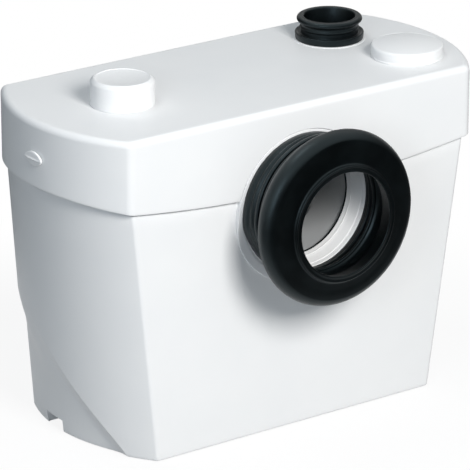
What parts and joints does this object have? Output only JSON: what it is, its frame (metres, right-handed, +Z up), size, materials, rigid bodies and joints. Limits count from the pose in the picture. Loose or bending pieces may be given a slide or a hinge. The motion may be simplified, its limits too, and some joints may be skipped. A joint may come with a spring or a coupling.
{
  "type": "macerator toilet pump",
  "caption": "Floor-standing macerator pump: bowed white tank and lift-off lid, ribbed black rubber pan inlet in front, rubber outlet and caps on top, cutter drum and pump inside.",
  "frame": {"origin": "on the floor, under the middle of the lid", "axes": "+X across the width to the right, -Y out of the pan inlet at the front, +Z up"},
  "size_m": [0.3846, 0.2268, 0.285],
  "materials": {
    "white_shell": "satin gloss moulded",
    "black_rubber": "semi-matt moulded rubber",
    "pale_plastic": "satin moulded",
    "grey_plastic": "matt moulded",
    "dark_plastic": "matt moulded",
    "ivory_plastic": "satin moulded",
    "steel": "brushed",
    "core_steel": "stacked sheet steel",
    "copper": "varnished copper wire",
    "bronze": "machined",
    "charcoal": "porous"
  },
  "bodies": {
    "base": {"tank_floor": "white_shell", "tank_front": "white_shell", "tank_back": "white_shell", "tank_left": "white_shell", "tank_right": "white_shell", "tank_rim": "white_shell", "inlet_boss": "white_shell", "fixing_pockets": "white_shell", "tank_lugs": "white_shell", "inlet_collar": "white_shell", "inlet_sleeve": "black_rubber", "inlet_chute": "pale_plastic", "cutter_drum": "pale_plastic", "hopper": "pale_plastic", "motor_flange": "dark_plastic", "motor_can": "steel", "motor_end_cap": "dark_plastic", "stator_core": "core_steel", "stator_windings": "copper", "motor_bearings": "steel", "shaft_seal": "black_rubber", "motor_cradle": "dark_plastic", "motor_strap": "steel", "pump_housing": "grey_plastic", "pump_bush": "bronze", "pump_cover": "grey_plastic", "pump_screws": "steel", "discharge_pipe": "grey_plastic", "valve_body": "grey_plastic", "valve_pin": "steel", "control_tray": "pale_plastic", "pressure_bell": "pale_plastic", "switch_base": "dark_plastic", "switch_membrane": "black_rubber", "switch_cover": "dark_plastic", "microswitch": "dark_plastic", "capacitor": "pale_plastic", "capacitor_saddle": "dark_plastic", "terminal_block": "ivory_plastic", "cable_gland": "dark_plastic", "gland_nut": "dark_plastic", "rim_seal": "black_rubber"},
    "rotor": {"shaft": "steel", "rotor_core": "core_steel", "cutter_hub": "steel", "cutter_blades": "steel", "impeller": "ivory_plastic", "impeller_nut": "steel"},
    "lid": {"lid": "white_shell", "lid_skirt": "white_shell", "lid_guide": "white_shell", "vent_cap": "white_shell", "filter_cage": "pale_plastic", "charcoal_filter": "charcoal", "blanking_cap": "white_shell", "outlet_connector": "black_rubber"},
    "flap": {"valve_flap": "black_rubber"},
    "plunger": {"switch_plunger": "bronze"},
    "left_lock": {"lock_left": "white_shell"},
    "right_lock": {"lock_right": "white_shell"}
  },
  "joints": [
    {"name": "lid_lift", "type": "slide", "parent": "base", "child": "lid", "axis": [0, 0, 1], "range_m": [0, 0.09]},
    {"name": "rotor_spin", "type": "hinge", "parent": "base", "child": "rotor", "pos_m": [0, 0.005, 0.066], "axis": [1, 0, 0], "continuous": true},
    {"name": "flap_swing", "type": "hinge", "parent": "base", "child": "flap", "pos_m": [0.0935, 0.034, 0.199], "axis": [0, -1, 0], "range_deg": [0, 50]},
    {"name": "plunger_travel", "type": "slide", "parent": "base", "child": "plunger", "axis": [0, 0, 1], "range_m": [0, 0.0025], "stiffness_N_per_m": 400, "deforming": ["switch_membrane"]},
    {"name": "left_lock_turn", "type": "hinge", "parent": "lid", "child": "left_lock", "pos_m": [-0.18887, -0.003, 0.236], "axis": [-0.9991, -0.0423, 0], "range_deg": [0, 90]},
    {"name": "right_lock_turn", "type": "hinge", "parent": "lid", "child": "right_lock", "pos_m": [0.18887, -0.003, 0.236], "axis": [0.9991, -0.0423, 0], "range_deg": [0, 90]}
  ]
}
